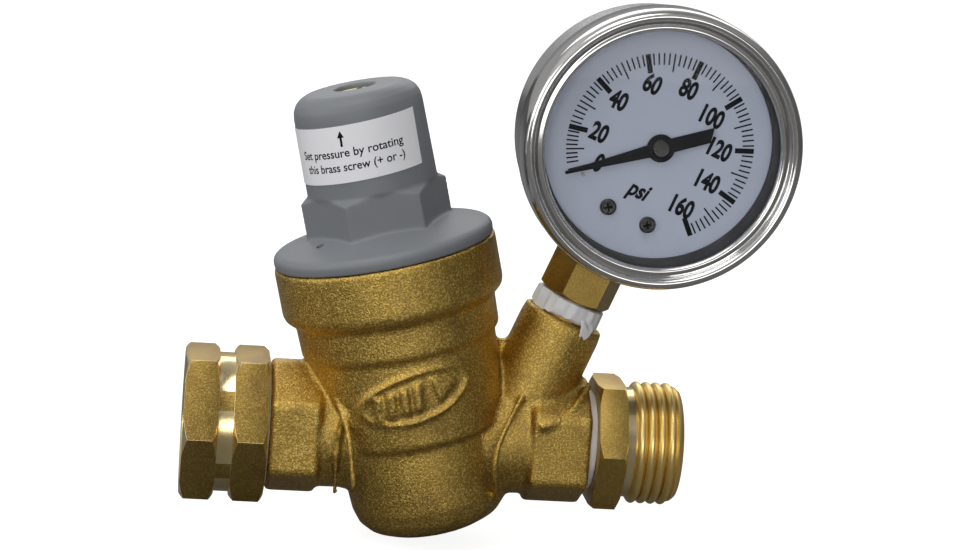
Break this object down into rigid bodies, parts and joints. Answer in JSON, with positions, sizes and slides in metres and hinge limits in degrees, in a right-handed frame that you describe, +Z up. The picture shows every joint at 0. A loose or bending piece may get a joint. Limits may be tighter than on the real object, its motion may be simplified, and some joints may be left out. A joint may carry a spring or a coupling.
{
  "type": "pressure reducing valve",
  "caption": "Adjustable brass water pressure regulator with hose thread ends, a grey bonnet with a slotted adjusting screw and a round dial gauge on a leaning stem.",
  "frame": {"origin": "centre of the mouth of the inlet hose thread", "axes": "+X along the pipe in the direction of flow, +Z up, the gauge dial faces -Y"},
  "size_m": [0.127, 0.0484, 0.1209],
  "materials": {
    "forged_brass": "forged and shot-blasted brass, matte grain",
    "turned_brass": "bright turned brass",
    "grey_plastic": "satin moulded plastic",
    "label_paper": "white printed film",
    "black_rubber": "moulded rubber",
    "ptfe": "white PTFE tape",
    "screen_mesh": "woven stainless wire",
    "polished_steel": "polished stainless steel",
    "case_steel": "drawn stainless steel",
    "clear_window": "clear flat window",
    "dial_white": "white enamelled aluminium",
    "black_metal": "black painted aluminium",
    "spring_steel": "spring wire",
    "steel_screw": "plated steel",
    "acetal": "white acetal"
  },
  "bodies": {
    "valve_body": {"body": "forged_brass", "inlet_adapter": "forged_brass", "hose_washer": "black_rubber", "inlet_screen": "screen_mesh", "inlet_tape": "ptfe", "outlet_nipple": "turned_brass", "outlet_tape": "ptfe", "bonnet": "grey_plastic", "instruction_label": "label_paper", "slip_ring": "acetal", "diaphragm": "black_rubber", "seat_insert": "turned_brass", "seat_o_ring": "black_rubber", "gauge_socket": "turned_brass", "gauge_tape": "ptfe", "gauge_case": "case_steel", "blowout_plug": "black_rubber", "gauge_bezel": "polished_steel", "gauge_window": "clear_window", "window_gasket": "black_rubber", "gauge_dial": "dial_white", "dial_screws": "steel_screw", "dial_spacers": "turned_brass", "stop_pin": "steel_screw", "bourdon_tube": "turned_brass", "tube_tip": "turned_brass", "movement_back_plate": "turned_brass", "movement_front_plate": "turned_brass", "movement_pillars": "turned_brass", "movement_screws": "steel_screw", "range_spring": "spring_steel", "hairspring": "turned_brass"},
    "screw": {"adjusting_screw": "turned_brass", "thrust_washer": "steel_screw"},
    "nut": {"spring_nut": "turned_brass"},
    "valve": {"spring_plate": "turned_brass", "under_plate": "turned_brass", "stem": "turned_brass", "stem_nut": "turned_brass", "valve_disc": "black_rubber", "disc_holder": "turned_brass", "disc_nut": "turned_brass"},
    "hand": {"pointer": "black_metal", "pointer_cap": "steel_screw", "pinion": "turned_brass"},
    "sector": {"sector_gear": "turned_brass"},
    "link": {"link": "turned_brass", "link_screw": "steel_screw"}
  },
  "joints": [
    {"name": "screw_turn", "type": "hinge", "parent": "valve_body", "child": "screw", "pos_m": [0.03648, 0, 0.05809], "axis": [-0.2504, 0, 0.9681], "range_deg": [-1442, 578]},
    {"name": "nut_slide", "type": "slide", "parent": "valve_body", "child": "nut", "axis": [-0.2504, 0, 0.9681], "range_m": [-0.005, 0.002]},
    {"name": "valve_lift", "type": "slide", "parent": "valve_body", "child": "valve", "axis": [-0.2504, 0, 0.9681], "range_m": [0, 0.0024], "stiffness_N_per_m": 4000, "springref_m": -0.008, "deforming": ["range_spring", "diaphragm"]},
    {"name": "pointer_turn", "type": "hinge", "parent": "valve_body", "child": "hand", "pos_m": [0.09698, 0, 0.06768], "axis": [0, 1, 0], "range_deg": [0, 264], "deforming": ["hairspring"]},
    {"name": "sector_turn", "type": "hinge", "parent": "valve_body", "child": "sector", "pos_m": [0.09675, 0, 0.05449], "axis": [0, 1, 0], "range_deg": [-26.5, 0.1]},
    {"name": "link_turn", "type": "hinge", "parent": "sector", "child": "link", "pos_m": [0.10127, 0, 0.04981], "axis": [0, 1, 0], "range_deg": [-0.1, 26.5]}
  ],
  "couplings": [
    {"joint": "screw_turn", "follows": "nut_slide", "rad_per_m": 5026.5},
    {"joint": "sector_turn", "follows": "pointer_turn", "ratio": -0.1},
    {"joint": "link_turn", "follows": "pointer_turn", "ratio": 0.1}
  ]
}
